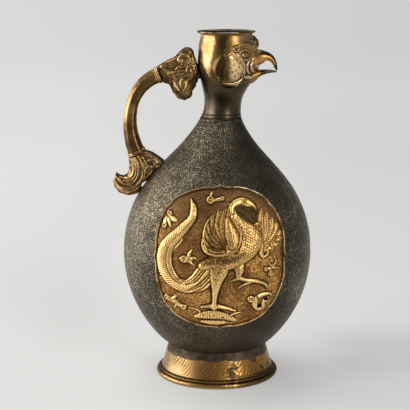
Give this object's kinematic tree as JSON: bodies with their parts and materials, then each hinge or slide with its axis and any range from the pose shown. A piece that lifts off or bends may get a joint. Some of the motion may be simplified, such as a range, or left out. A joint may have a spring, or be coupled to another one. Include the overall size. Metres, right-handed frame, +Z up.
{
  "type": "bird-head ewer",
  "caption": "Pear-shaped gilt-bronze ewer with flattened sides, a hooked-beak bird head for its mouth, a cast bow handle, lobed medallions and a flared foot.",
  "frame": {"origin": "on the table plane, under the middle of the overall box; the vessel's own axis stands 3.8 mm from it towards the beak", "axes": "+Z up, +X towards the beak, -X towards the handle, -Y the pictured front"},
  "size_m": [0.1704, 0.1458, 0.3],
  "materials": {
    "gilt": "worn fire gilding over bronze",
    "gilt_dark": "rubbed gilding with dark bronze showing",
    "bronze_chased": "dark olive-grey patina over fine chased scrolls",
    "bronze_smooth": "dark brown polished patina"
  },
  "bodies": {
    "root": {"foot_rim": "gilt_dark", "foot_ring": "gilt", "body_shell": "bronze_chased", "neck_head_shell": "gilt", "mouth_rim": "bronze_smooth", "upper_beak": "bronze_smooth", "lower_beak": "bronze_smooth", "head_crest": "gilt_dark", "front_medallion": "gilt", "back_medallion": "gilt", "front_pin_east": "bronze_smooth", "front_pin_north": "bronze_smooth", "front_pin_west": "bronze_smooth", "front_pin_south": "bronze_smooth", "back_pin_east": "bronze_smooth", "back_pin_north": "bronze_smooth", "back_pin_west": "bronze_smooth", "back_pin_south": "bronze_smooth", "handle_head": "gilt", "handle_head_lug": "bronze_smooth", "handle_upper_collar": "gilt", "handle_grip": "gilt", "handle_lower_collar": "gilt", "handle_leaf": "gilt", "handle_leaf_pin_high": "bronze_smooth", "handle_leaf_pin_low": "bronze_smooth"}
  },
  "joints": []
}
